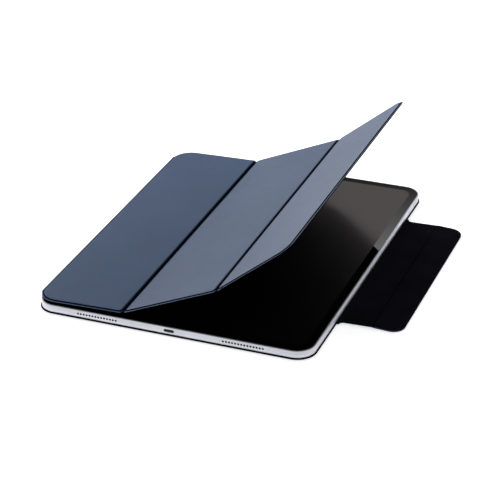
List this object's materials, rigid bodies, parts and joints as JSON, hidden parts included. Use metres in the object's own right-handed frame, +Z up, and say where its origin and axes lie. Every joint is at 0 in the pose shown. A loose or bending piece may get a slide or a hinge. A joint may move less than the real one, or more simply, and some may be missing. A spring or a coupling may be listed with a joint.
{
  "type": "tablet folio case",
  "caption": "Tri-fold magnetic folio case with its tablet fitted: hinged back panel, spine, folding cover panels, closing flap, sliding tablet with buttons.",
  "frame": {"origin": "centre of the back panel's flat underside, on the table", "axes": "+X from the spine to the closing flap, +Y from the tablet's port edge to its top edge, +Z up"},
  "size_m": [0.2666, 0.2822, 0.0873],
  "materials": {
    "cover_leather": "soft-touch synthetic leather, fine grain, navy, low sheen",
    "lining_microfibre": "brushed microfibre, near black with a purple-navy tint",
    "stiffener_board": "glass-fibre sheet, dark, matte",
    "magnet_plating": "nickel-plated flat magnet",
    "rim_plastic": "moulded rim, dark navy, matte",
    "tablet_aluminium": "bead-blasted anodised aluminium, pale silver",
    "tablet_front_glass": "polished black-backed cover glass",
    "display_panel": "display module, dark",
    "battery_film": "foil battery pouch with black film",
    "circuit_board": "circuit board with shielded chips",
    "speaker_plastic": "moulded speaker box, black",
    "speaker_mesh": "fine black metal mesh",
    "port_steel": "stamped steel port shell",
    "port_plastic": "moulded port tongue, black",
    "camera_plate": "anodised camera plate",
    "lens_glass": "coated lens cover, nearly black",
    "camera_module": "camera module housing",
    "contact_plating": "gold-plated contact",
    "switch_plastic": "dome switch"
  },
  "bodies": {
    "back_panel": {"back_skin": "cover_leather", "back_board": "stiffener_board", "back_lining": "lining_microfibre", "back_magnets": "magnet_plating", "camera_opening_rim": "rim_plastic", "spine_web": "cover_leather", "flap_root_web": "cover_leather"},
    "spine": {"spine_skin": "cover_leather", "spine_board": "stiffener_board", "spine_lining": "lining_microfibre", "cover_web": "cover_leather"},
    "cover_panel_1": {"cover_skin_1": "cover_leather", "cover_board_1": "stiffener_board", "cover_lining_1": "lining_microfibre", "stand_magnets": "magnet_plating", "fold_web_1": "cover_leather"},
    "cover_panel_2": {"cover_skin_2": "cover_leather", "cover_board_2": "stiffener_board", "cover_lining_2": "lining_microfibre", "fold_web_2": "cover_leather"},
    "cover_panel_3": {"cover_skin_3": "cover_leather", "cover_board_3": "stiffener_board", "cover_lining_3": "lining_microfibre", "closure_magnets": "magnet_plating", "sleep_magnet": "magnet_plating"},
    "flap_inner": {"flap_skin_inner": "cover_leather", "flap_lining_inner": "lining_microfibre", "flap_bend_web": "cover_leather"},
    "flap_middle": {"flap_skin_middle": "cover_leather", "flap_lining_middle": "lining_microfibre", "flap_tip_web": "cover_leather"},
    "flap_outer": {"flap_skin_outer": "cover_leather", "flap_board": "stiffener_board", "flap_lining_outer": "lining_microfibre", "flap_magnets": "magnet_plating"},
    "tablet": {"tablet_housing": "tablet_aluminium", "tablet_glass": "tablet_front_glass", "tablet_display": "display_panel", "tablet_battery_cells": "battery_film", "tablet_logic_board": "circuit_board", "tablet_speakers": "speaker_plastic", "speaker_meshes": "speaker_mesh", "charging_port_shell": "port_steel", "charging_port_tongue": "port_plastic", "rear_camera_plate": "camera_plate", "rear_camera_lenses": "lens_glass", "rear_camera_module": "camera_module", "front_camera": "camera_module", "tablet_magnets": "magnet_plating", "accessory_contacts": "contact_plating", "key_switches": "switch_plastic"},
    "power_button": {"power_button": "tablet_aluminium"},
    "volume_up_button": {"volume_up_button": "tablet_aluminium"},
    "volume_down_button": {"volume_down_button": "tablet_aluminium"}
  },
  "joints": [
    {"name": "spine_hinge", "type": "hinge", "parent": "back_panel", "child": "spine", "pos_m": [-0.10898, 0, 0.0014], "axis": [0, -1, 0], "range_deg": [0, 180]},
    {"name": "cover_hinge", "type": "hinge", "parent": "spine", "child": "cover_panel_1", "pos_m": [-0.10898, 0, 0.00855], "axis": [0, -1, 0], "range_deg": [-1.5, 178.5]},
    {"name": "fold_1_hinge", "type": "hinge", "parent": "cover_panel_1", "child": "cover_panel_2", "pos_m": [-0.0375, 0, 0.01042], "axis": [0, 1, 0], "range_deg": [-98, 22]},
    {"name": "fold_2_hinge", "type": "hinge", "parent": "cover_panel_2", "child": "cover_panel_3", "pos_m": [0.03632, 0, 0.04252], "axis": [0, 1, 0], "range_deg": [-104.4, 15.6]},
    {"name": "flap_root_hinge", "type": "hinge", "parent": "back_panel", "child": "flap_inner", "pos_m": [0.10898, 0, 0.0014], "axis": [0, -1, 0], "range_deg": [-91.6, 88.4]},
    {"name": "flap_bend_hinge", "type": "hinge", "parent": "flap_inner", "child": "flap_middle", "pos_m": [0.12158, 0, 0.00175], "axis": [0, -1, 0], "range_deg": [-60, 140]},
    {"name": "flap_tip_hinge", "type": "hinge", "parent": "flap_middle", "child": "flap_outer", "pos_m": [0.13417, 0, 0.0021], "axis": [0, 1, 0], "range_deg": [-94.7, 85.3]},
    {"name": "tablet_slide", "type": "slide", "parent": "back_panel", "child": "tablet", "axis": [0, -1, 0], "range_m": [0, 0.29]},
    {"name": "power_button_press", "type": "slide", "parent": "tablet", "child": "power_button", "axis": [0, -1, 0], "range_m": [0, 0.0003]},
    {"name": "volume_up_press", "type": "slide", "parent": "tablet", "child": "volume_up_button", "axis": [-1, 0, 0], "range_m": [0, 0.0003]},
    {"name": "volume_down_press", "type": "slide", "parent": "tablet", "child": "volume_down_button", "axis": [-1, 0, 0], "range_m": [0, 0.0003]}
  ]
}
